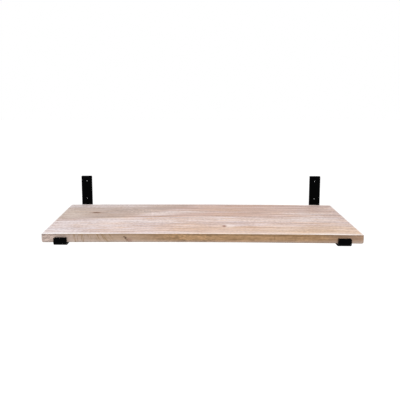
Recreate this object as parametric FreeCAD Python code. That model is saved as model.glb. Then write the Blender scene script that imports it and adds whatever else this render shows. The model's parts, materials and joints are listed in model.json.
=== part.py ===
import FreeCAD, Part
import math
import os

# A wall shelf: one solid wooden board lying in two steel brackets, each a flat bar bent twice.
# Millimetres. The origin is the centre of the four wall holes, on the face of the wall.
# X runs along the board to the right as seen from the room, Y points into the wall, Z is up.

# Board
BOARD_LENGTH = 950.0
BOARD_DEPTH = 225.0
BOARD_THICKNESS = 28.0
BOARD_TOP_EDGE_RADIUS = 1.0
BOARD_CORNER_RADIUS = 2.0
BOARD_LOWER_EDGE_RADIUS = 5.0
BOARD_LOWER_END_RADIUS = 9.0

# Bracket bar, and the heights of its two turned-up ends
BAR_WIDTH = 38.0
BAR_THICKNESS = 6.0
BAR_EDGE_RADIUS = 0.8
BAR_END_RADIUS = 2.0
BEND_INNER_RADIUS = 4.5
BRACKET_SPACING = 835.0
UPRIGHT_ABOVE_BOARD = 107.0
LIP_ABOVE_ARM = 18.5
LIP_GAP = 2.0

# Countersunk holes, all drilled with the same two tools
HOLE_DIAMETER = 3.4
COUNTERSINK_DIAMETER = 7.0
WALL_HOLE_SPACING = 66.0
WALL_HOLE_BELOW_TOP = 19.0
BOARD_SCREW_INSET = 45.0

# Countersunk wood screw with a cross recess
SCREW_LENGTH = 25.0
SCREW_HEAD_DIAMETER = 6.0
SCREW_HEAD_RIM = 0.4
SCREW_CREST_DIAMETER = 3.0
SCREW_CORE_DIAMETER = 2.1
SCREW_PITCH = 1.35
SCREW_RIDGE_WIDTH = 0.7
SCREW_PLAIN_SHANK = 7.0
SCREW_POINT_LENGTH = 3.5
RECESS_WIDTH = 3.6
RECESS_SLOT = 0.8
RECESS_DEPTH = 1.6
RECESS_FLOOR_DIAMETER = 1.0
THREAD_CLEARANCE = 0.03

# Heights and depths that follow from the sizes above
UPRIGHT_TOP = WALL_HOLE_SPACING / 2 + WALL_HOLE_BELOW_TOP
BOARD_TOP = UPRIGHT_TOP - UPRIGHT_ABOVE_BOARD
BOARD_BOTTOM = BOARD_TOP - BOARD_THICKNESS
ARM_BOTTOM = BOARD_BOTTOM - BAR_THICKNESS
LIP_TOP = BOARD_BOTTOM + LIP_ABOVE_ARM
BOARD_BACK = -BAR_THICKNESS
BOARD_FRONT = BOARD_BACK - BOARD_DEPTH
LIP_BACK = BOARD_FRONT - LIP_GAP
LIP_FRONT = LIP_BACK - BAR_THICKNESS
BEND_OUTER_RADIUS = BEND_INNER_RADIUS + BAR_THICKNESS
HOLE_RADIUS = HOLE_DIAMETER / 2
COUNTERSINK_RADIUS = COUNTERSINK_DIAMETER / 2
SCREW_HEAD_RADIUS = SCREW_HEAD_DIAMETER / 2
# The head's cone lies on the countersink's cone, which leaves its flat top this far below the arm's face
SCREW_SINK = COUNTERSINK_RADIUS - SCREW_HEAD_RADIUS - SCREW_HEAD_RIM

BRACKET_CENTRES = {"left": -BRACKET_SPACING / 2, "right": BRACKET_SPACING / 2}
SCREW_ROWS = {"rear": BOARD_BACK - BOARD_SCREW_INSET, "front": BOARD_FRONT + BOARD_SCREW_INSET}

ORIGIN = FreeCAD.Vector(0, 0, 0)
ALONG_BOARD = FreeCAD.Vector(1, 0, 0)
INTO_WALL = FreeCAD.Vector(0, 1, 0)
UP = FreeCAD.Vector(0, 0, 1)


def end_corners(bar):
    """The four edges that cross the bar's thickness, two at each of its cut ends."""
    across = []
    for edge in bar.Edges:
        span = edge.Vertexes[1].Point - edge.Vertexes[0].Point
        if span.isEqual(INTO_WALL * span.y, 0.001) and abs(span.y) < BAR_THICKNESS + 0.001:
            across.append(edge)
    return across


def sharp_edges(shape):
    """Edges where two faces meet at an angle. The seams where a bend runs into a flat are left out."""
    seam_angle = math.radians(5)
    sharp = []
    for edge in shape.Edges:
        middle = edge.valueAt((edge.FirstParameter + edge.LastParameter) / 2)
        normals = []
        for face in shape.ancestorsOfType(edge, Part.Face):
            normals.append(face.normalAt(*face.Surface.parameter(middle)))
        if normals[0].getAngle(normals[1]) > seam_angle:
            sharp.append(edge)
    return sharp


def bar_outline():
    """The bent bar seen from its side, as one closed wire in the plane X = 0.

    Each corner is its y, its z and the radius that rounds it, where zero is a square corner.
    """
    corners = [
        (0, UPRIGHT_TOP, 0),
        (0, ARM_BOTTOM, BEND_OUTER_RADIUS),
        (LIP_FRONT, ARM_BOTTOM, BEND_OUTER_RADIUS),
        (LIP_FRONT, LIP_TOP, 0),
        (LIP_BACK, LIP_TOP, 0),
        (LIP_BACK, BOARD_BOTTOM, BEND_INNER_RADIUS),
        (BOARD_BACK, BOARD_BOTTOM, BEND_INNER_RADIUS),
        (BOARD_BACK, UPRIGHT_TOP, 0),
    ]
    points = [FreeCAD.Vector(0, y, z) for y, z, radius in corners]
    edges = []
    last_leave = points[0]
    for i in range(1, len(corners)):
        corner = points[i]
        radius = corners[i][2]
        arrive = corner + (points[i - 1] - corner).normalize() * radius
        leave = corner + (points[(i + 1) % len(points)] - corner).normalize() * radius
        edges.append(Part.makeLine(last_leave, arrive))
        if radius:
            centre = arrive + leave - corner
            middle = centre + (corner - centre).normalize() * radius
            edges.append(Part.Arc(arrive, middle, leave).toShape())
        last_leave = leave
    edges.append(Part.makeLine(last_leave, points[0]))
    return Part.Wire(edges)


def countersunk_hole(entry, direction):
    """What the drill takes away: a 90 degree cone from the entry face, then a hole through the bar."""
    overrun = 1.0
    start = entry - direction * overrun
    cone_depth = COUNTERSINK_RADIUS - HOLE_RADIUS
    cone = Part.makeCone(
        COUNTERSINK_RADIUS + overrun, HOLE_RADIUS, cone_depth + overrun, start, direction
    )
    hole = Part.makeCylinder(HOLE_RADIUS, BAR_THICKNESS + 2 * overrun, start, direction)
    return cone.fuse(hole)


def make_bracket(centre):
    """One bar with its bends, rounded ends, rolled edges and four holes, centred at this X."""
    face = Part.Face(bar_outline())
    face.translate(ALONG_BOARD * (centre - BAR_WIDTH / 2))
    bar = face.extrude(ALONG_BOARD * BAR_WIDTH)
    bar = bar.makeFillet(BAR_END_RADIUS, end_corners(bar))
    bar = bar.makeFillet(BAR_EDGE_RADIUS, sharp_edges(bar))
    for height in (-WALL_HOLE_SPACING / 2, WALL_HOLE_SPACING / 2):
        bar = bar.cut(countersunk_hole(FreeCAD.Vector(centre, BOARD_BACK, height), INTO_WALL))
    for row in SCREW_ROWS.values():
        bar = bar.cut(countersunk_hole(FreeCAD.Vector(centre, row, ARM_BOTTOM), UP))
    return bar


def screw_body(grow):
    """The screw turned about its axis, point up, with its head's flat face at the origin.

    The thread is a row of ridges at its pitch. grow swells it, for the room that it takes in the wood.
    """
    core = SCREW_CORE_DIAMETER / 2
    crest = SCREW_CREST_DIAMETER / 2
    neck = SCREW_HEAD_RIM + SCREW_HEAD_RADIUS - core
    point_start = SCREW_LENGTH - SCREW_POINT_LENGTH
    ridges = int((point_start - SCREW_PLAIN_SHANK) / SCREW_PITCH)
    profile = [(SCREW_HEAD_RADIUS, 0), (SCREW_HEAD_RADIUS, SCREW_HEAD_RIM), (core, neck)]
    for i in range(ridges):
        height = SCREW_PLAIN_SHANK + i * SCREW_PITCH
        profile.append((core, height))
        profile.append((crest, height + SCREW_RIDGE_WIDTH / 2))
        profile.append((core, height + SCREW_RIDGE_WIDTH))
    profile.append((core, point_start))
    outline = [FreeCAD.Vector(radius + grow, 0, height) for radius, height in profile]
    tip = FreeCAD.Vector(0, 0, SCREW_LENGTH + grow)
    half_section = Part.Face(Part.makePolygon([ORIGIN, *outline, tip, ORIGIN]))
    return half_section.revolve(ORIGIN, UP, 360)


def cross_recess():
    """The driver's cross in the head: two crossed slots that a cone narrows towards the floor."""
    slots = None
    for length, width in ((RECESS_WIDTH, RECESS_SLOT), (RECESS_SLOT, RECESS_WIDTH)):
        corner = FreeCAD.Vector(-length / 2, -width / 2, 0)
        slot = Part.makeBox(length, width, RECESS_DEPTH, corner)
        slots = slot if slots is None else slots.fuse(slot)
    taper = Part.makeCone(RECESS_WIDTH / 2, RECESS_FLOOR_DIAMETER / 2, RECESS_DEPTH)
    return slots.common(taper)


def make_screw(centre, row):
    """One wood screw, driven up through the arm into the board."""
    screw = screw_body(0).cut(cross_recess())
    screw.translate(FreeCAD.Vector(centre, row, ARM_BOTTOM + SCREW_SINK))
    return screw


def eased_box(direction, radius):
    """The board's plain box with its edges along one direction rounded, but none of those round its top."""
    corner = FreeCAD.Vector(-BOARD_LENGTH / 2, BOARD_FRONT, BOARD_BOTTOM)
    box = Part.makeBox(BOARD_LENGTH, BOARD_DEPTH, BOARD_THICKNESS, corner)
    edges = []
    for edge in box.Edges:
        span = edge.Vertexes[1].Point - edge.Vertexes[0].Point
        reaches_bottom = edge.BoundBox.ZMin < BOARD_BOTTOM + 0.01
        if abs(span.dot(direction)) > edge.Length / 2 and reaches_bottom:
            edges.append(edge)
    return box.makeFillet(radius, edges)


def make_board():
    """The board, crisp round its top and rounder below, with the holes that its screws cut.

    What the three eased boxes have in common is rounded below, most at its ends, and less at its four
    upright corners. The edges of its top are eased last.
    """
    along = eased_box(ALONG_BOARD, BOARD_LOWER_EDGE_RADIUS)
    across = eased_box(INTO_WALL, BOARD_LOWER_END_RADIUS)
    corners = eased_box(UP, BOARD_CORNER_RADIUS)
    board = corners.common(along).common(across).Solids[0]
    just_below_top = BOARD_TOP - 0.01
    top_edges = [edge for edge in board.Edges if edge.BoundBox.ZMin > just_below_top]
    board = board.makeFillet(BOARD_TOP_EDGE_RADIUS, top_edges)
    for centre in BRACKET_CENTRES.values():
        for row in SCREW_ROWS.values():
            room = screw_body(THREAD_CLEARANCE)
            room.translate(FreeCAD.Vector(centre, row, ARM_BOTTOM + SCREW_SINK))
            board = board.cut(room)
    return board


os.makedirs("parts", exist_ok=True)
nodes = {"shelf_board": make_board()}
for side, centre in BRACKET_CENTRES.items():
    nodes[f"{side}_bracket"] = make_bracket(centre)
    for name, row in SCREW_ROWS.items():
        nodes[f"{side}_{name}_board_screw"] = make_screw(centre, row)
for node, shape in nodes.items():
    shape.exportStep(f"parts/{node}.step")
    state = "valid" if shape.isValid() else "not valid"
    print(node, state, len(shape.Solids), "solid", round(shape.Volume), "mm3")
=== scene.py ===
import bmesh
import bpy
import json
import math
import numpy as np
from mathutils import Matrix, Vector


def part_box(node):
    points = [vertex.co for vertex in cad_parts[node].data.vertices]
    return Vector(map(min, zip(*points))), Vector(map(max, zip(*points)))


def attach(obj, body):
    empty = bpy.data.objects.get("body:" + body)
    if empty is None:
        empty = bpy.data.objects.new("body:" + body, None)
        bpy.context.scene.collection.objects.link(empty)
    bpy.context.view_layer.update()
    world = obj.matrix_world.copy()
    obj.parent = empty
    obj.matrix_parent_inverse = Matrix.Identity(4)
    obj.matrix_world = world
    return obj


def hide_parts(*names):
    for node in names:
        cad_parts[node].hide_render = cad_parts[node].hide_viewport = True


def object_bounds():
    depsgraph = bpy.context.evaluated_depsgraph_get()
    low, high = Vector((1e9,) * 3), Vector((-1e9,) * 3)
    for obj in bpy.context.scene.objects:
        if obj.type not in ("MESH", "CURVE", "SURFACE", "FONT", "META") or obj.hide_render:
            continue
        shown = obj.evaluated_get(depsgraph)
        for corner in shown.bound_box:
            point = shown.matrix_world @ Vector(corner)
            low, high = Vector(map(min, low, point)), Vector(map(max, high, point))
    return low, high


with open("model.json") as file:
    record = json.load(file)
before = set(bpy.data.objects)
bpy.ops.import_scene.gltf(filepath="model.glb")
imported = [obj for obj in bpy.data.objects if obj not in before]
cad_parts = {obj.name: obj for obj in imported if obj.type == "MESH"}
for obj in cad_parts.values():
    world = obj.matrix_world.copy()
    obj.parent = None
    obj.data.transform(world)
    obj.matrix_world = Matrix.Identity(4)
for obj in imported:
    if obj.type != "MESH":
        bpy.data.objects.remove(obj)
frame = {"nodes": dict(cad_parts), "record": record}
cad_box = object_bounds()

# Brackets
# Each bracket is one length of mild steel flat bar, bent cold into a J: an upright for the wall, an arm
# under the board and a short lip in front of it. The holes are drilled and countersunk before it is powder
# coated.

MM = 0.001
bracket_lo, bracket_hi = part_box("left_bracket")
board_lo, board_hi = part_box("shelf_board")
bar_width = bracket_hi.x - bracket_lo.x
bar_thickness = board_lo.z - bracket_lo.z
bar_edge = 0.8 * MM
bar_end_corner = 2.0 * MM
bend_inner = 4.5 * MM
bend_middle = bend_inner + bar_thickness / 2
lip_height = 18.5 * MM
lip_top = board_lo.z + lip_height
wall_holes = next(m for m in frame["record"]["mounts"] if m["name"] == "wall_screws")["dims"]
hole_radius = wall_holes["hole_r_mm"] * MM
hole_sides = 48
countersink_radius = 3.5 * MM
screws = [name for name in frame["nodes"] if name.endswith("_board_screw")]
same_point = 0.0005 * MM
sharp_turn = math.radians(40)


def linear(code):
    """An sRGB hex colour as linear red, green, blue and an alpha of 1."""
    srgb = np.array([int(code[i : i + 2], 16) for i in (1, 3, 5)]) / 255
    value = np.where(srgb <= 0.04045, srgb / 12.92, ((srgb + 0.055) / 1.055) ** 2.4)
    return (*value.tolist(), 1.0)


def node(tree, kind, links=None, out=0, **settings):
    """Adds one shader node with its settings, and gives the output named by out, or all of them for None.

    Each link is a number, a colour or another node's output socket.
    """
    made = tree.nodes.new("ShaderNode" + kind)
    for name, value in settings.items():
        setattr(made, name, value)
    for name, value in (links or {}).items():
        socket = made.inputs[name]
        if isinstance(value, bpy.types.NodeSocket):
            tree.links.new(value, socket)
        else:
            socket.default_value = value
    if out is None:
        return made.outputs
    return made.outputs[out] if made.outputs else None


def new_material(name):
    """An empty node material, and the tree that its nodes go into."""
    material = bpy.data.materials.new(name)
    material.use_nodes = True
    material.node_tree.nodes.clear()
    return material, material.node_tree


def grid_quads(rows, columns, round_columns=False):
    """Quads between neighbours of a grid numbered row by row. If round, its last column joins the first."""
    row, column = np.meshgrid(
        np.arange(rows - 1), np.arange(columns - (not round_columns)), indexing="ij"
    )
    after = (column + 1) % columns
    corners = [row * columns + column, row * columns + after]
    corners += [(row + 1) * columns + after, (row + 1) * columns + column]
    return np.stack(corners, axis=-1).reshape(-1, 4).tolist()


def tube_faces(rows, columns):
    """Faces of a closed tube whose rows are loops: quads from loop to loop, and a cap over each end loop."""
    caps = [list(range(columns)), list(range((rows - 1) * columns, rows * columns))]
    return grid_quads(rows, columns, round_columns=True) + caps


def add_mesh(name, points, faces):
    """An object at the origin with this mesh: doubles merged, faces outwards, smooth up to sharp turns."""
    mesh = bpy.data.meshes.new(name)
    mesh.from_pydata(points.reshape(-1, 3).tolist(), [], faces)
    shape = bmesh.new()
    shape.from_mesh(mesh)
    bmesh.ops.remove_doubles(shape, verts=shape.verts, dist=same_point)
    bmesh.ops.recalc_face_normals(shape, faces=shape.faces)
    shape.to_mesh(mesh)
    shape.free()
    mesh.shade_smooth()
    mesh.set_sharp_from_angle(angle=sharp_turn)
    piece = bpy.data.objects.new(name, mesh)
    bpy.context.scene.collection.objects.link(piece)
    return piece


def dress(piece, material, slot, *replaced):
    """The piece gets its material, rides on the shelf and stands for these CAD nodes."""
    piece.data.materials.append(material)
    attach(piece, "root")
    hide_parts(*replaced)


def bar_section(half_width, half_thickness):
    """Loop round the bar: corner centres plus a circle of the edge radius, and points across broad faces.

    Every row of the result is the loop for one half width and half thickness: distances across and through.
    """
    corner_points = 5
    quarter = np.linspace(0, math.pi / 2, corner_points)
    # Parts of the half width, with a last pair close to the edges to keep the faces flat up to there
    across = np.concatenate([[0.96], np.linspace(0.75, -0.75, 7), [-0.96]])
    angle, centre_x, centre_t = [], [], []
    for turn, (sign_x, sign_t) in enumerate([(1, 1), (-1, 1), (-1, -1), (1, -1)]):
        angle += list(quarter + turn * math.pi / 2)
        centre_x += [sign_x] * len(quarter)
        centre_t += [sign_t] * len(quarter)
        if turn in (0, 2):
            angle += [sign_t * math.pi / 2] * len(across)
            centre_x += list(across * sign_t)
            centre_t += [sign_t] * len(across)
    radius = np.minimum(bar_edge, half_thickness)[:, None]
    x = np.array(centre_x) * (half_width[:, None] - radius) + radius * np.cos(angle)
    t = np.array(centre_t) * (half_thickness[:, None] - radius) + radius * np.sin(angle)
    return x, t


def bent_bar(centre):
    """The bar's section carried along its bent middle line, from the upright's top to the lip's top.

    The line's outward normal turns from the wall side, through straight down, to the front. In a bend the
    point is the bend's centre plus the middle radius along that normal. Towards each end the section narrows
    on a quarter circle of the corner radius in width, and of the edge radius in thickness.
    """
    bend_y = np.array([-bar_thickness / 2 - bend_middle, bracket_lo.y + bar_thickness / 2 + bend_middle])
    bend_z = board_lo.z - bar_thickness / 2 + bend_middle
    below_end = 8 * MM
    clear_of_bend = 2 * MM
    end_rows = 9
    upright_rows = 9
    bend_rows = 13
    arm_rows = 13
    end = bar_end_corner * (1 - np.cos(np.linspace(0, math.pi / 2, end_rows)))
    turn = np.linspace(0, math.pi / 2, bend_rows)
    upright_z = np.linspace(bracket_hi.z - below_end, bend_z + clear_of_bend, upright_rows)
    upright_z = np.concatenate([bracket_hi.z - end, upright_z])
    arm_y = np.linspace(bend_y[0] - clear_of_bend, bend_y[1] + clear_of_bend, arm_rows)
    lip_z = lip_top - end[::-1]
    straight = [np.zeros_like(upright_z), np.full_like(arm_y, math.pi / 2), np.full_like(lip_z, math.pi)]
    angle = np.concatenate([straight[0], turn, straight[1], turn + math.pi / 2, straight[2]])
    y = np.concatenate([
        np.full_like(upright_z, bend_y[0] + bend_middle),
        bend_y[0] + bend_middle * np.cos(turn),
        arm_y,
        bend_y[1] - bend_middle * np.sin(turn),
        np.full_like(lip_z, bend_y[1] - bend_middle),
    ])
    z = np.concatenate([
        upright_z,
        bend_z - bend_middle * np.sin(turn),
        np.full_like(arm_y, bend_z - bend_middle),
        bend_z - bend_middle * np.cos(turn),
        lip_z,
    ])
    run = np.concatenate([[0], np.cumsum(np.hypot(np.diff(y), np.diff(z)))])
    from_end = np.minimum(run, run[-1] - run)
    to_corner = np.clip(bar_end_corner - from_end, 0, bar_end_corner)
    to_edge = np.clip(bar_edge - from_end, 0, bar_edge)
    half_width = bar_width / 2 - bar_end_corner + np.sqrt(bar_end_corner**2 - to_corner**2)
    half_thickness = bar_thickness / 2 - bar_edge + np.sqrt(bar_edge**2 - to_edge**2)
    across, through = bar_section(half_width, half_thickness)
    points = np.stack([
        centre + across,
        y[:, None] + through * np.cos(angle)[:, None],
        z[:, None] - through * np.sin(angle)[:, None],
    ], axis=-1)
    return points, tube_faces(*across.shape)


def turned(profile, start, axis, count):
    """A profile of (radius, height) pairs turned about an axis from the start point, closed at both ends."""
    axis = np.array(axis, float)
    side = np.array([1.0, 0.0, 0.0])
    other = np.cross(axis, side)
    angle = np.arange(count) * 2 * math.pi / count
    radius, height = np.array(profile).T
    around = np.cos(angle)[:, None] * side + np.sin(angle)[:, None] * other
    points = np.array(start) + height[:, None, None] * axis + radius[:, None, None] * around
    return points, tube_faces(len(profile), count)


def cut(piece, points, faces):
    """Cuts a closed shape of these points and faces out of a piece."""
    cutter = add_mesh("cutter", points, faces)
    hole = piece.modifiers.new("hole", "BOOLEAN")
    hole.object = cutter
    hole.operation = "DIFFERENCE"
    hole.solver = "EXACT"
    drilled = piece.evaluated_get(bpy.context.evaluated_depsgraph_get())
    mesh = bpy.data.meshes.new_from_object(drilled)
    piece.modifiers.clear()
    piece.data = mesh
    mesh.set_sharp_from_angle(angle=sharp_turn)
    bpy.data.objects.remove(cutter)


def drill(piece, entry, direction):
    """Cuts a countersunk hole from an entry point in a direction: a cone, then a cylinder past the bar."""
    overrun = 1 * MM
    profile = [
        (countersink_radius + overrun, -overrun),
        (hole_radius, countersink_radius - hole_radius),
        (hole_radius, bar_thickness + overrun),
    ]
    cut(piece, *turned(profile, entry, direction, hole_sides))


# Black polyester powder coat, baked on: a satin skin with faint orange peel, a little uneven in its black
# and its shine. Along the bar's edges, where the powder lies thinnest, it is worn smoother and greyer in
# places.
peel_size = 1.6 * MM
cloud_size = 22 * MM
worn_width = 1.4 * MM
worn_roughness = -0.12
bar_middle = abs(bracket_lo.x + bracket_hi.x) / 2
as_colour = {"out": 2, "data_type": "RGBA"}
powder_coat, tree = new_material("satin_black_powder_coat")
place = node(tree, "TexCoord", out="Object")
peel = node(tree, "TexNoise", {"Vector": place, "Scale": 1 / peel_size, "Detail": 2.0}, out="Fac")
bump = node(tree, "Bump", {"Height": peel, "Strength": 0.25, "Distance": 0.05 * MM})
cloud = node(tree, "TexNoise", {"Vector": place, "Scale": 1 / cloud_size, "Detail": 5.0}, out="Fac")
from_middle = node(tree, "SeparateXYZ", {0: place}, out="X")
from_middle = node(tree, "Math", {0: from_middle}, operation="ABSOLUTE")
from_middle = node(tree, "Math", {0: from_middle, 1: bar_middle}, operation="SUBTRACT")
from_middle = node(tree, "Math", {0: from_middle}, operation="ABSOLUTE")
worn = node(tree, "MapRange", {
    "Value": from_middle,
    "From Min": bar_width / 2 - worn_width,
    "From Max": bar_width / 2,
})
patchy = node(tree, "MapRange", {"Value": cloud, "From Min": 0.45, "From Max": 0.62})
worn = node(tree, "Math", {0: worn, 1: patchy}, operation="MULTIPLY")
black = node(tree, "Mix", {0: cloud, 6: linear("#020203"), 7: linear("#040506")}, **as_colour)
black = node(tree, "Mix", {0: worn, 6: black, 7: linear("#101012")}, **as_colour)
satin = node(tree, "MapRange", {
    "Value": cloud,
    "From Min": 0.3,
    "From Max": 0.7,
    "To Min": 0.44,
    "To Max": 0.56,
})
satin = node(tree, "Math", {0: worn, 1: worn_roughness, 2: satin}, operation="MULTIPLY_ADD")
coat = node(tree, "BsdfPrincipled", {
    "Base Color": black,
    "Roughness": satin,
    "Specular IOR Level": 0.02,
    "Normal": bump,
})
node(tree, "OutputMaterial", {"Surface": coat})

for side in ("left", "right"):
    lo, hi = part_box(f"{side}_bracket")
    centre = (lo.x + hi.x) / 2
    bracket = add_mesh(f"{side}_bent_bar", *bent_bar(centre))
    for half in (-0.5, 0.5):
        drill(bracket, (centre, -bar_thickness, half * wall_holes["spacing_y_mm"] * MM), (0, 1, 0))
    for screw in screws:
        if screw.startswith(side):
            screw_lo, screw_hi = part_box(screw)
            drill(bracket, (centre, (screw_lo.y + screw_hi.y) / 2, bracket_lo.z), (0, 0, 1))
    dress(bracket, powder_coat, "bracket_black", f"{side}_bracket")

# Board
# One plank of pine, planed on all sides and cut to length, rounded with a router along its lower edges and
# only just eased elsewhere, then wiped with a thin white oil. It lies in the brackets against the uprights,
# bowed up a little, and screws hold it from below.

board_lower_edge = 5.0 * MM
board_lower_end = 9.0 * MM
board_corner = 2.0 * MM
board_top_edge = 1.0 * MM
board_core_depth = board_lower_end
board_bow = 2.0 * MM
board_grid = 8.0 * MM


def way_out(first, second, radius):
    """How many times a step of these two parts fits between the core and the outside of a rounded corner.

    The corner is square, the core's depth away from the core, less a circle of its own radius: the line
    leaves by a side, or through the circle where that is further from the middle than the circle's centre.
    """
    nothing = 1e-12
    inset = board_core_depth - radius
    side = board_core_depth / np.maximum(np.maximum(first, second), nothing)
    square = np.maximum(first**2 + second**2, nothing**2)
    half = inset * (first + second)
    circle = (half + np.sqrt(np.maximum(half**2 - square * (2 * inset**2 - radius**2), 0))) / square
    return np.where(side * np.minimum(first, second) > inset, circle, side)


def rounded_plank(lo, hi, step):
    """A box's six grids drawn in to a rounded plank.

    Each point goes along the straight line from the core, the box shrunk by its largest radius, to where
    that line first leaves the plank in plan, along or across.
    """
    lo = np.array(lo)
    hi = np.array(hi)
    # Grid lines from the core to the outside, closer together towards the edge, where the surface turns
    parts = [0, 0.2, 0.38, 0.52, 0.62, 0.7, 0.77, 0.83, 0.88, 0.915, 0.945, 0.975, 1]
    outwards = board_core_depth * np.array(parts)
    lines = []
    for low, high in zip(lo + board_core_depth, hi - board_core_depth):
        between = np.linspace(low, high, max(2, round((high - low) / step) + 1))
        lines.append(np.concatenate([low - outwards[:0:-1], between, high + outwards[1:]]))
    points, quads = [], []
    for axis in range(3):
        first, second = [a for a in range(3) if a != axis]
        u, v = np.meshgrid(lines[first], lines[second], indexing="ij")
        for wall in (lo[axis], hi[axis]):
            side = np.empty((*u.shape, 3))
            side[..., first] = u
            side[..., second] = v
            side[..., axis] = wall
            start = sum(len(p) for p in points)
            quads += (np.array(grid_quads(*u.shape)) + start).tolist()
            points.append(side.reshape(-1, 3))
    points = np.concatenate(points)
    core = np.clip(points, lo + board_core_depth, hi - board_core_depth)
    beyond = points - core
    x, y, z = np.abs(beyond).T
    upper = beyond[:, 2] > 0
    along_edges = way_out(y, z, np.where(upper, board_top_edge, board_lower_edge))
    end_edges = way_out(x, z, np.where(upper, board_top_edge, board_lower_end))
    out = np.minimum(np.minimum(along_edges, end_edges), way_out(x, y, board_corner))
    return core + out[:, None] * beyond, quads


def bowed(points):
    """A parabola along the board lifts its middle and leaves it on the arms at the brackets' outer edges."""
    outer = np.abs([bracket_lo.x, bracket_hi.x]).max()
    lift = board_bow * (1 - (points[:, 0] / outer) ** 2)
    return points + lift[:, None] * np.array([0, 0, 1])


# Pine under white oil: straight streaks and thin darker rings along the board, with a few small brown knots.
# Where the oil lies thick the wood is pinkish white, where it was wiped thin it is tan, the top is greyer at
# the back left, and the edges took less oil and stayed tan. Matt, with the fibres just raised.
# Sizes and places in this material are in millimetres.
wood, tree = new_material("white_oiled_pine")
place = node(tree, "TexCoord", out="Object")
mm = node(tree, "VectorMath", {0: place, "Scale": 1 / MM}, operation="SCALE")
along, back, up = node(tree, "SeparateXYZ", {0: mm}, out=None)
board_left = board_lo.x / MM
board_right = board_hi.x / MM
board_front = board_lo.y / MM
board_back = board_hi.y / MM
board_bottom = board_lo.z / MM
board_top = board_hi.z / MM
board_depth = board_back - board_front
board_thickness = board_top - board_bottom
halfway_down = board_thickness / 2
middle_z = board_top - halfway_down
smoothly = {"interpolation_type": "SMOOTHSTEP"}


def reach_from(where, centre, half):
    """How far a place lies from a centre, in half sizes: 1 all round the ellipsoid of that half size."""
    offset = node(tree, "VectorMath", {0: where, 1: centre}, operation="SUBTRACT")
    offset = node(tree, "VectorMath", {0: offset, 1: half}, operation="DIVIDE")
    return node(tree, "VectorMath", {0: offset}, out="Value", operation="LENGTH")


def lumps(where, sizes, detail, distortion=0.0):
    """Noise with lumps of these sizes along, across and up: noise of scale 1 at the place over the sizes."""
    over = node(tree, "VectorMath", {0: where, 1: [1 / size for size in sizes]}, operation="MULTIPLY")
    links = {"Vector": over, "Scale": 1.0, "Detail": detail, "Distortion": distortion}
    return node(tree, "TexNoise", links, out="Fac")


# The grain runs half a degree off the board's length and wanders a little. Each swing here and below is a
# noise less its own middle value.
noise_middle = 0.5
grain_slope = 0.009
grain_wander = 20.0
wander_size = (380, 170, 90)
drift = node(tree, "Math", {0: lumps(mm, wander_size, detail=1.0), 1: noise_middle}, operation="SUBTRACT")
across = node(tree, "Math", {0: along, 1: grain_slope, 2: back}, operation="MULTIPLY_ADD")
across = node(tree, "Math", {0: drift, 1: grain_wander, 2: across}, operation="MULTIPLY_ADD")

# Round the two knots of the top it spreads and closes again
long_knot = (-360, board_front + 150, board_top)
round_knot = (71, board_front + 50, board_top)
knot_spread = (55, 18, 30)
knot_push = -0.75
for centre in (long_knot, round_knot):
    reach = reach_from(mm, centre, knot_spread)
    push = node(tree, "MapRange", {"Value": reach, "From Min": 1.0, "From Max": 0.0, "To Max": knot_push},
                interpolation_type="SMOOTHERSTEP")
    aside = node(tree, "Math", {0: back, 1: centre[1]}, operation="SUBTRACT")
    across = node(tree, "Math", {0: aside, 1: push, 2: across}, operation="MULTIPLY_ADD")
grain = node(tree, "CombineXYZ", {"X": along, "Y": across, "Z": up})

# Growth rings about a pith behind and below the board, as a tone that changes from ring to ring
pith = (0, 190, -260)
ring_spacing = {"wide_rings": 11, "fine_rings": 3.2}
swings = {}
ring = node(tree, "VectorMath", {0: grain, 1: (0, 1, 1)}, operation="MULTIPLY")
ring = node(tree, "VectorMath", {0: ring, 1: pith}, out="Value", operation="DISTANCE")
for name, spacing in ring_spacing.items():
    turns = node(tree, "Math", {0: ring, 1: 1 / spacing}, operation="MULTIPLY")
    layer = node(tree, "TexNoise", {"W": turns, "Scale": 1.0, "Detail": 2.0}, noise_dimensions="1D")
    swings[name] = node(tree, "Math", {0: layer, 1: noise_middle}, operation="SUBTRACT")

# Fibres and streaks of oil along the grain, each a length and a width. Real fibres and pores are finer than
# a tenth of a millimetre and are drawn as coarse as they need to show.
threads = {
    "streaks": (300, 8),
    "fibres": (90, 2.4),
    "pores": (22, 0.7),
    "lines": (110, 6.5),
    "figure": (24, 4.5),
    "flecks": (8, 6),
    "oil_streaks": (240, 9),
    "oil_specks": (45, 6),
}
for name, (length, width) in threads.items():
    layer = lumps(grain, (length, width, width), detail=3.0)
    swings[name] = node(tree, "Math", {0: layer, 1: noise_middle}, operation="SUBTRACT")


def blend_of(start, weights):
    """A start value plus each named swing times its weight."""
    total = start
    for name, weight in weights.items():
        total = node(tree, "Math", {0: swings[name], 1: weight, 2: total}, operation="MULTIPLY_ADD")
    return total


# From the dark of a ring to the pale between rings: under thin oil, under thick oil, and on the bare edges
tone = blend_of(0.5, {
    "wide_rings": 0.7,
    "fine_rings": 0.6,
    "streaks": 1.1,
    "fibres": 1.0,
    "pores": 1.0,
    "lines": 1.0,
    "flecks": 0.8,
})
bare_tone = blend_of(tone, {"figure": 1.6})
veil = blend_of(0.55, {"oil_streaks": 2.4, "oil_specks": 1.9})
thin_oil = node(tree, "Mix", {0: tone, 6: linear("#b18f7b"), 7: linear("#dfc3af")}, **as_colour)
thick_oil = node(tree, "Mix", {0: tone, 6: linear("#b7a09c"), 7: linear("#e3d4d4")}, **as_colour)
oiled_colour = node(tree, "Mix", {0: veil, 6: thin_oil, 7: thick_oil}, **as_colour)
bare_colour = node(tree, "Mix", {0: bare_tone, 6: linear("#ac8560"), 7: linear("#d9af84")}, **as_colour)
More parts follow.
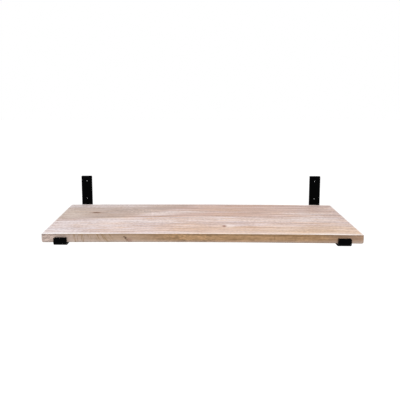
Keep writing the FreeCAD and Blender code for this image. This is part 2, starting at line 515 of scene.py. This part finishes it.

# The greyer area at the back left runs out along a slanting line, and its edges follow the streaks
grey_slope = -0.45
grey_sway = 40.0
grey_front = board_back - 134
grey_full = board_back - 118
slant = node(tree, "Math", {0: along, 1: grey_slope, 2: back}, operation="MULTIPLY_ADD")
slant = node(tree, "Math", {0: swings["streaks"], 1: grey_sway, 2: slant}, operation="MULTIPLY_ADD")
slant = node(tree, "MapRange", {"Value": slant, "From Min": -14.0, "From Max": 8.0, "To Max": 0.5})
behind = node(tree, "Math", {0: swings["streaks"], 1: grey_sway, 2: across}, operation="MULTIPLY_ADD")
behind = node(tree, "MapRange", {"Value": behind, "From Min": grey_front, "From Max": grey_full})
grey_area = node(tree, "Math", {0: slant, 1: behind}, operation="MULTIPLY")
oiled_colour = node(tree, "Mix", {0: grey_area, 6: oiled_colour, 7: linear("#b2a195")}, **as_colour)

ragged_sway = 1.2
uneven = blend_of(1.0, {"oil_specks": 2.2, "flecks": 1.6})


def patch(colour, where, centre, half, shade, share, ragged=False):
    """Turns a colour towards a shade by this share inside an ellipsoid of this centre and half size.

    The share fades from 0.3 to 1.3 half sizes. On a ragged patch the streaks move that edge, and the specks
    and flecks make the cover uneven.
    """
    reach = reach_from(where, centre, half)
    if ragged:
        sway = {0: swings["streaks"], 1: ragged_sway, 2: reach}
        reach = node(tree, "Math", sway, operation="MULTIPLY_ADD")
    fade = {"Value": reach, "From Min": 1.3, "From Max": 0.3, "To Max": share}
    cover = node(tree, "MapRange", fade, **smoothly)
    if ragged:
        cover = node(tree, "Math", {0: cover, 1: uneven}, operation="MULTIPLY", use_clamp=True)
    return node(tree, "Mix", {0: cover, 6: colour, 7: linear(shade)}, **as_colour)


# Half sizes of a mark: through the wood, so that the board's bow changes nothing, and past both of its ends
deep = 40
endless = 3000
# Marks on the top, each by its middle along the board, its distance from the back edge, its half length, its
# half width, its shade and its share. First the broad streaky areas.
top_areas = [
    # A pale strip along the back left edge, which is a painted highlight, and a beige left end
    (-410, 2, 300, 40, "#f3ebee", 0.38),
    (-445, 78, 95, 46, "#e2d1c4", 0.48),
    # The grey area's dark end, and pale wood along its slanting edge
    (-118, 38, 95, 14, "#a3918a", 0.38),
    (-138, 86, 85, 13, "#f6eeec", 0.54),
    (-55, 71, 85, 13, "#f3eae8", 0.4),
    # Thick oil in bands before the grey area, and at the front left, where the pale patches are thick oil
    # and painted light
    (-110, 144, 180, 12, "#f6eeef", 0.3),
    (-300, 143, 260, 17, "#f0e6e8", 0.26),
    (board_left, 175, 300, 42, "#f3ebee", 0.4),
    (board_left, board_depth, 140, 50, "#f3ebee", 0.4),
    # Thin oil at the front middle and right, with a pale band behind
    (12, 203, 200, 42, "#d2b198", 0.42),
    (150, 133, 340, 13, "#efdfd8", 0.35),
    (430, board_depth, 430, 66, "#e6c7a3", 0.4),
    # Browner wood at the back right and in bands across the middle
    (150, 38, 310, 48, "#c09c8a", 0.36),
    (60, 89, 320, 14, "#b98f78", 0.4),
    (-115, 104, 110, 9, "#c3a28e", 0.3),
    # Pale oil at the right end
    (370, 76, 90, 12, "#efe2df", 0.4),
    (350, 118, 130, 24, "#efe2df", 0.35),
]
# Then single rings and streaks of oil that stand out
brown = "#9f7058"
pale = "#f6ecec"
top_lines = [
    (-32, 42, 70, 3.0, brown, 0.4),
    (172, 35, 70, 3.0, brown, 0.4),
    (-80, 104, 70, 3.2, brown, 0.45),
    (291, 103, 80, 3.2, brown, 0.55),
    (276, 114, 85, 3.0, brown, 0.2),
    (-24, 147, 70, 3.2, brown, 0.45),
    (163, 183, 80, 2.6, brown, 0.4),
    (24, 111, 125, 3.2, pale, 0.6),
    (365, 112, 80, 3.2, pale, 0.55),
    (-297, 129, 110, 5.0, pale, 0.5),
    (-430, 147, 65, 4.5, pale, 0.5),
    (-267, 142, 100, 4.0, pale, 0.55),
    (-77, 217, 65, 3.5, pale, 0.5),
    (-215, 207, 85, 5.0, pale, 0.4),
]
# Last painted highlights: pale lines along the eased edges, strongest at the ends of the front one
highlight_white = "#fffafb"
painted_highlight_rims = [
    (0, board_depth, endless, 5, highlight_white, 0.38),
    (board_left, board_depth, 210, 9, highlight_white, 0.75),
    (380, board_depth, 95, 13, highlight_white, 0.4),
    (0, 0, endless, 5, highlight_white, 0.5),
    (board_left, 0, 4, endless, highlight_white, 0.5),
    (board_right, 0, 4, endless, highlight_white, 0.5),
]
for marks, where, ragged in ((top_areas, mm, True), (top_lines, grain, False), (painted_highlight_rims, mm, False)):
    for middle, depth, half_length, half_width, shade, share in marks:
        centre = (middle, board_back - depth, board_top)
        half = (half_length, half_width, deep)
        oiled_colour = patch(oiled_colour, where, centre, half, shade, share, ragged)

# The front edge is pinker and paler at the left and browner at the right. It has painted shade along its
# top, just under the eased edge, and is paler along its bottom. Its areas are given by their middle along
# the board, their distance below the top, their half length, their half height, their shade and their share.
front_areas = [
    (board_left, halfway_down, 180, 60, "#f6e2df", 0.8),
    (-320, halfway_down, 200, 60, "#e0c6b2", 0.65),
    (board_right, halfway_down, 110, 60, "#d2b09c", 0.5),
    # Painted shade: a dark line along the top of the front edge, just under its eased edge
    (0, 0, endless, 5, "#8a6a45", 0.4),
    (-250, board_thickness, 420, 11, "#f2ded2", 0.6),
    (280, board_thickness, 420, 11, "#ecd2c4", 0.5),
    (board_right, board_thickness, 90, 12, "#f0d8c6", 0.5),
]
front_colour = bare_colour
for middle, below, half_length, half_height, shade, share in front_areas:
    centre = (middle, board_front, board_top - below)
    front_colour = patch(front_colour, mm, centre, (half_length, deep, half_height), shade, share)

# Left of the knot in the front edge the grain turns up and shows as thin lines, upright at first and
# slanting near it
hatch_middle = -320.0
hatch_size = (3.2, 90, 30)
lean = node(tree, "MapRange", {
    "Value": along,
    "From Min": -350.0,
    "From Max": -270.0,
    "To Min": 0.1,
    "To Max": 0.8,
})
height = node(tree, "Math", {0: up, 1: middle_z}, operation="SUBTRACT")
leaning = node(tree, "Math", {0: height, 1: lean, 2: along}, operation="MULTIPLY_ADD")
hatch = lumps(node(tree, "CombineXYZ", {"X": leaning, "Y": back, "Z": up}), hatch_size, detail=2.0)
hatch = node(tree, "MapRange", {"Value": hatch, "From Min": 0.5, "From Max": 0.66, "To Max": 0.65})
from_hatch = node(tree, "Math", {0: along, 1: hatch_middle}, operation="SUBTRACT")
from_hatch = node(tree, "Math", {0: from_hatch}, operation="ABSOLUTE")
hatched = node(tree, "MapRange", {"Value": from_hatch, "From Min": 80.0, "From Max": 55.0})
hatched = node(tree, "Math", {0: hatched, 1: hatch}, operation="MULTIPLY")
front_colour = node(tree, "Mix", {0: hatched, 6: front_colour, 7: linear("#a9834f")}, **as_colour)

# Where the cut crosses a wavy part of the grain it shows as short curls: near the middle of the front edge,
# at its left end, and in the grey area of the top
curl_size = (18, 9, 5)
curls = lumps(mm, curl_size, detail=1.0, distortion=1.5)
curls = node(tree, "MapRange", {"Value": curls, "From Min": 0.3, "From Max": 0.7, "To Min": -1.0})


def curly(colour, centre, half, swing):
    """Lightens and darkens a colour by this swing of the curls, which fades from 0.7 to 1.3 half sizes."""
    reach = reach_from(mm, centre, half)
    near = node(tree, "MapRange", {"Value": reach, "From Min": 1.3, "From Max": 0.7, "To Max": swing})
    lightness = node(tree, "Math", {0: curls, 1: near, 2: 1.0}, operation="MULTIPLY_ADD")
    return node(tree, "VectorMath", {0: colour, "Scale": lightness}, operation="SCALE")


front_colour = curly(front_colour, (-33, board_front, middle_z), (90, deep, deep), 0.28)
front_colour = curly(front_colour, (board_left, board_front, middle_z), (60, deep, deep), 0.35)
oiled_colour = curly(oiled_colour, (-225, board_back - 58, board_top), (80, 17, deep), 0.2)

# On the sawn ends the rings are cut across and show as strong arcs
end_tone = blend_of(0.5, {"wide_rings": 1.8, "fine_rings": 1.8, "fibres": 0.8})
end_colour = node(tree, "Mix", {0: end_tone, 6: linear("#94704c"), 7: linear("#cfa67a")}, **as_colour)

# Each face of the board gets its own colour, and they run into each other round the edges
facing = node(tree, "NewGeometry", out="Normal")
facing_x, facing_y, facing_z = node(tree, "SeparateXYZ", {0: facing}, out=None)
front = node(tree, "MapRange", {"Value": facing_y, "From Min": -0.1, "From Max": -0.6}, **smoothly)
colour = node(tree, "Mix", {0: front, 6: bare_colour, 7: front_colour}, **as_colour)
oiled = node(tree, "MapRange", {"Value": facing_z, "From Min": 0.2, "From Max": 0.7}, **smoothly)
colour = node(tree, "Mix", {0: oiled, 6: colour, 7: oiled_colour}, **as_colour)
sawn = node(tree, "Math", {0: facing_x}, operation="ABSOLUTE")
sawn = node(tree, "MapRange", {"Value": sawn, "From Min": 0.6, "From Max": 0.9}, **smoothly)
colour = node(tree, "Mix", {0: sawn, 6: colour, 7: end_colour}, **as_colour)

# Knots, as marks of a centre, a half size, a shade and a share
knots = [
    # On the top, a pale place beside the round knot, then the long knot and the round one, darker inwards
    ((84, board_front + 52, board_top), (22, 14, 14), "#f4eae8", 0.4),
    (long_knot, (30, 8, 10), "#9a7050", 0.35),
    (long_knot, (16, 4.6, 10), "#74462a", 0.8),
    (long_knot, (5, 1.6, 10), "#43210f", 0.7),
    (round_knot, (8, 7, 14), "#84482a", 0.8),
    (round_knot, (3.5, 2.6, 14), "#4a2010", 0.7),
    # In the front edge, a knot cut along its slanting length, the pink wood beside it, and a faint knot
    ((-229, board_front, board_top - 8), (4, 14, 2.8), "#6e4a2c", 0.7),
    ((-225, board_front, board_top - 12), (3.5, 14, 4), "#4a2c18", 0.9),
    ((-221, board_front, board_top - 17), (4, 14, 3.5), "#7c5a3a", 0.6),
    ((-214, board_front, board_top - 19), (10, 14, 8), "#b58a7a", 0.6),
    ((214, board_front, board_top - 11), (2.5, 8, 5), "#6e4a34", 0.3),
]
for centre, half, shade, share in knots:
    colour = patch(colour, mm, centre, half, shade, share)

# The fibres show through all of these and stand up a little. Where the oil lies thick the wood is
# smoother.
lightness = blend_of(1.0, {"streaks": 0.15, "lines": 0.3, "flecks": 0.3, "fibres": 0.3})
colour = node(tree, "VectorMath", {0: colour, "Scale": lightness}, operation="SCALE")
raised = blend_of(1.0, {"fibres": 1.0, "fine_rings": 1.0, "pores": 0.6})
bump = node(tree, "Bump", {"Height": raised, "Strength": 0.3, "Distance": 0.25 * MM})
wood_shader = node(tree, "BsdfPrincipled", {
    "Base Color": colour,
    "Roughness": node(tree, "MapRange", {"Value": veil, "To Min": 0.7, "To Max": 0.56}),
    "Specular IOR Level": 0.3,
    "Normal": bump,
})
node(tree, "OutputMaterial", {"Surface": wood_shader})

points, quads = rounded_plank(board_lo, board_hi, board_grid)
board = add_mesh("plank", bowed(points), quads)
dress(board, wood, "board_wood", "shelf_board")

# Board screws
# Countersunk wood screws of cold-formed steel, with a rolled thread, a plain neck and a cross recess, bright
# zinc plated. They are driven up through each arm into the underside of the board.

head_radius = 3.0 * MM
head_rim = 0.4 * MM
head_bevel = 0.1 * MM
core_radius = 1.05 * MM
tip_radius = 0.05 * MM
thread_height = 0.45 * MM
thread_width = 0.7 * MM
thread_pitch = 1.35 * MM
thread_stop = 0.5 * MM
plain_length = 7.0 * MM
point_length = 3.5 * MM
recess_depth = 1.6 * MM
recess_half_width = 0.4 * MM
recess_half_length = 1.88 * MM
recess_half_floor = 0.5 * MM
screw_sides = 40
rows_per_turn = 14


def wood_screw(foot, length):
    """The screw's radius over height and angle: a straight-sided body and a ridge climbing a pitch a turn.

    The body is a rim, a cone under the head, a core and a point. The ridge is a triangle across, and grows
    and fades at its two ends.
    """
    neck = head_rim + head_radius - core_radius
    point = length - point_length
    thread_rows = np.arange(plain_length, length, thread_pitch / rows_per_turn)
    height = np.array([0, head_bevel, head_rim, neck, *thread_rows, length])
    body = np.interp(
        height,
        [0, head_bevel, head_rim, neck, point, length],
        [head_radius - head_bevel, head_radius, head_radius, core_radius, core_radius, tip_radius],
    )
    growth = [plain_length, plain_length + thread_pitch, point, length - thread_stop]
    climb = np.interp(height, growth, [0, thread_height, thread_height, 0])
    angle = np.arange(screw_sides) * 2 * math.pi / screw_sides
    turns = height[:, None] / thread_pitch - angle / (2 * math.pi)
    ridge = np.maximum(0, 1 - np.abs(turns % 1 - 0.5) * 2 * thread_pitch / thread_width)
    radius = body[:, None] + climb[:, None] * ridge
    up_axis = np.broadcast_to(height[:, None], radius.shape)
    points = np.array(foot) + np.stack([radius * np.cos(angle), radius * np.sin(angle), up_axis], axis=-1)
    return points, tube_faces(*radius.shape)


def recess_slot(foot, turned_round):
    """One slot of the cross: a rectangle outside the head's face, joined to a shorter one at the floor."""
    outside = 0.1 * MM
    corner = np.array([[1, 1], [-1, 1], [-1, -1], [1, -1]])
    half = np.array([[recess_half_length, recess_half_width], [recess_half_floor, recess_half_width]])
    flat = (corner * half[:, None])[..., :: -1 if turned_round else 1]
    height = np.array([[-outside], [recess_depth]])
    points = np.array(foot) + np.dstack([flat, np.broadcast_to(height, (2, 4))])
    return points, tube_faces(2, 4)


# Bright zinc on steel: a pale, slightly blue metal, its shine broken by the marks of the dies, which are
# finer on a real screw and are drawn as coarse as they need to show.
mark_size = 0.4 * MM
zinc, tree = new_material("bright_zinc_plate")
place = node(tree, "TexCoord", out="Object")
die_marks = node(tree, "TexNoise", {"Vector": place, "Scale": 1 / mark_size, "Detail": 3.0}, out="Fac")
bump = node(tree, "Bump", {"Height": die_marks, "Strength": 0.3, "Distance": 0.02 * MM})
zinc_shader = node(tree, "BsdfPrincipled", {
    "Base Color": node(tree, "Mix", {0: die_marks, 6: linear("#a9b0b8"), 7: linear("#d8dbdf")}, **as_colour),
    "Metallic": 1.0,
    "Roughness": node(tree, "MapRange", {"Value": die_marks, "To Min": 0.25, "To Max": 0.5}),
    "Normal": bump,
})
node(tree, "OutputMaterial", {"Surface": zinc_shader})

for screw in screws:
    lo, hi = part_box(screw)
    foot = ((lo.x + hi.x) / 2, (lo.y + hi.y) / 2, lo.z)
    piece = add_mesh(f"{screw}_zinc", *wood_screw(foot, hi.z - lo.z))
    for turned_round in (False, True):
        cut(piece, *recess_slot(foot, turned_round))
    dress(piece, zinc, "screw_zinc", screw)

# Floor and light
# A plain pale floor well below the shelf, as in the room where it hangs, soft daylight all round, and one
# large soft lamp above the board and a little in front of it.

floor_drop = 1.35
floor_size = 30.0
floor_glow = 0.7
daylight = 0.43
lamp_size = (1.2, 0.7)
lamp_power = 12.7
lamp_place = (0.05, board_lo.y - 0.35, board_hi.z + 1.15)


def seen_directly(tree):
    """1 for rays from the camera, from a reflection or through glass, else 0: the largest of the three."""
    rays = [node(tree, "LightPath", out=f"Is {kind} Ray") for kind in ("Camera", "Glossy", "Transmission")]
    seen = node(tree, "Math", {0: rays[0], 1: rays[1]}, operation="MAXIMUM")
    return node(tree, "Math", {0: seen, 1: rays[2]}, operation="MAXIMUM")


# Matt pale paint, which looks white where it is seen and still takes the shelf's shadow.
floor, tree = new_material("pale_floor")
paint = node(tree, "BsdfDiffuse", {"Color": linear("#f0f0f0")})
glow = node(tree, "Emission", {"Color": linear("#ffffff"), "Strength": floor_glow})
lifted = node(tree, "AddShader", {0: paint, 1: glow})
floor_shader = node(tree, "MixShader", {"Fac": seen_directly(tree), 1: paint, 2: lifted})
node(tree, "OutputMaterial", {"Surface": floor_shader})
corners = np.array([[-1, -1, 0], [1, -1, 0], [1, 1, 0], [-1, 1, 0]]) * floor_size / 2
corners[:, 2] = cad_box[0].z - floor_drop
ground = add_mesh("floor", corners, [[0, 1, 2, 3]])
ground.data.materials.append(floor)

world = bpy.data.worlds.new("soft_daylight")
world.use_nodes = True
tree = world.node_tree
tree.nodes.clear()
strength = node(tree, "MapRange", {"Value": seen_directly(tree), "To Min": daylight, "To Max": 1.0})
sky = node(tree, "Background", {"Color": linear("#ffffff"), "Strength": strength})
node(tree, "OutputWorld", {"Surface": sky})
bpy.context.scene.world = world

lamp = bpy.data.lights.new("soft_lamp", "AREA")
lamp.shape = "RECTANGLE"
lamp.size, lamp.size_y = lamp_size
lamp.energy = lamp_power
soft_lamp = bpy.data.objects.new("soft_lamp", lamp)
soft_lamp.location = lamp_place
aim = board_lo.lerp(board_hi, 0.5) - soft_lamp.location
soft_lamp.rotation_euler = aim.to_track_quat("-Z", "Y").to_euler()
bpy.context.scene.collection.objects.link(soft_lamp)

# Camera
# It stands a little under a metre in front of the board and looks slightly down, with the frame moved down
# the lens's image, as when a larger photograph is cropped.

frame_px = 400
focal_px = 304.1
middle_px = (191.4, 110.5)
camera_place = (-0.0194, board_lo.y - 0.8635, board_hi.z + 0.4337)
camera_down = 4.509
camera_roll = 0.086
camera_turn = 0.675
view = bpy.data.cameras.new("camera")
view.sensor_width = 36
view.lens = view.sensor_width * focal_px / frame_px
view.shift_x = (frame_px / 2 - middle_px[0]) / frame_px
view.shift_y = (middle_px[1] - frame_px / 2) / frame_px
camera = bpy.data.objects.new("camera", view)
camera.location = camera_place
camera.rotation_euler = [math.radians(angle) for angle in (90 - camera_down, camera_roll, camera_turn)]
bpy.context.scene.collection.objects.link(camera)
bpy.context.scene.camera = camera

bpy.context.scene.view_settings.view_transform = "Standard"
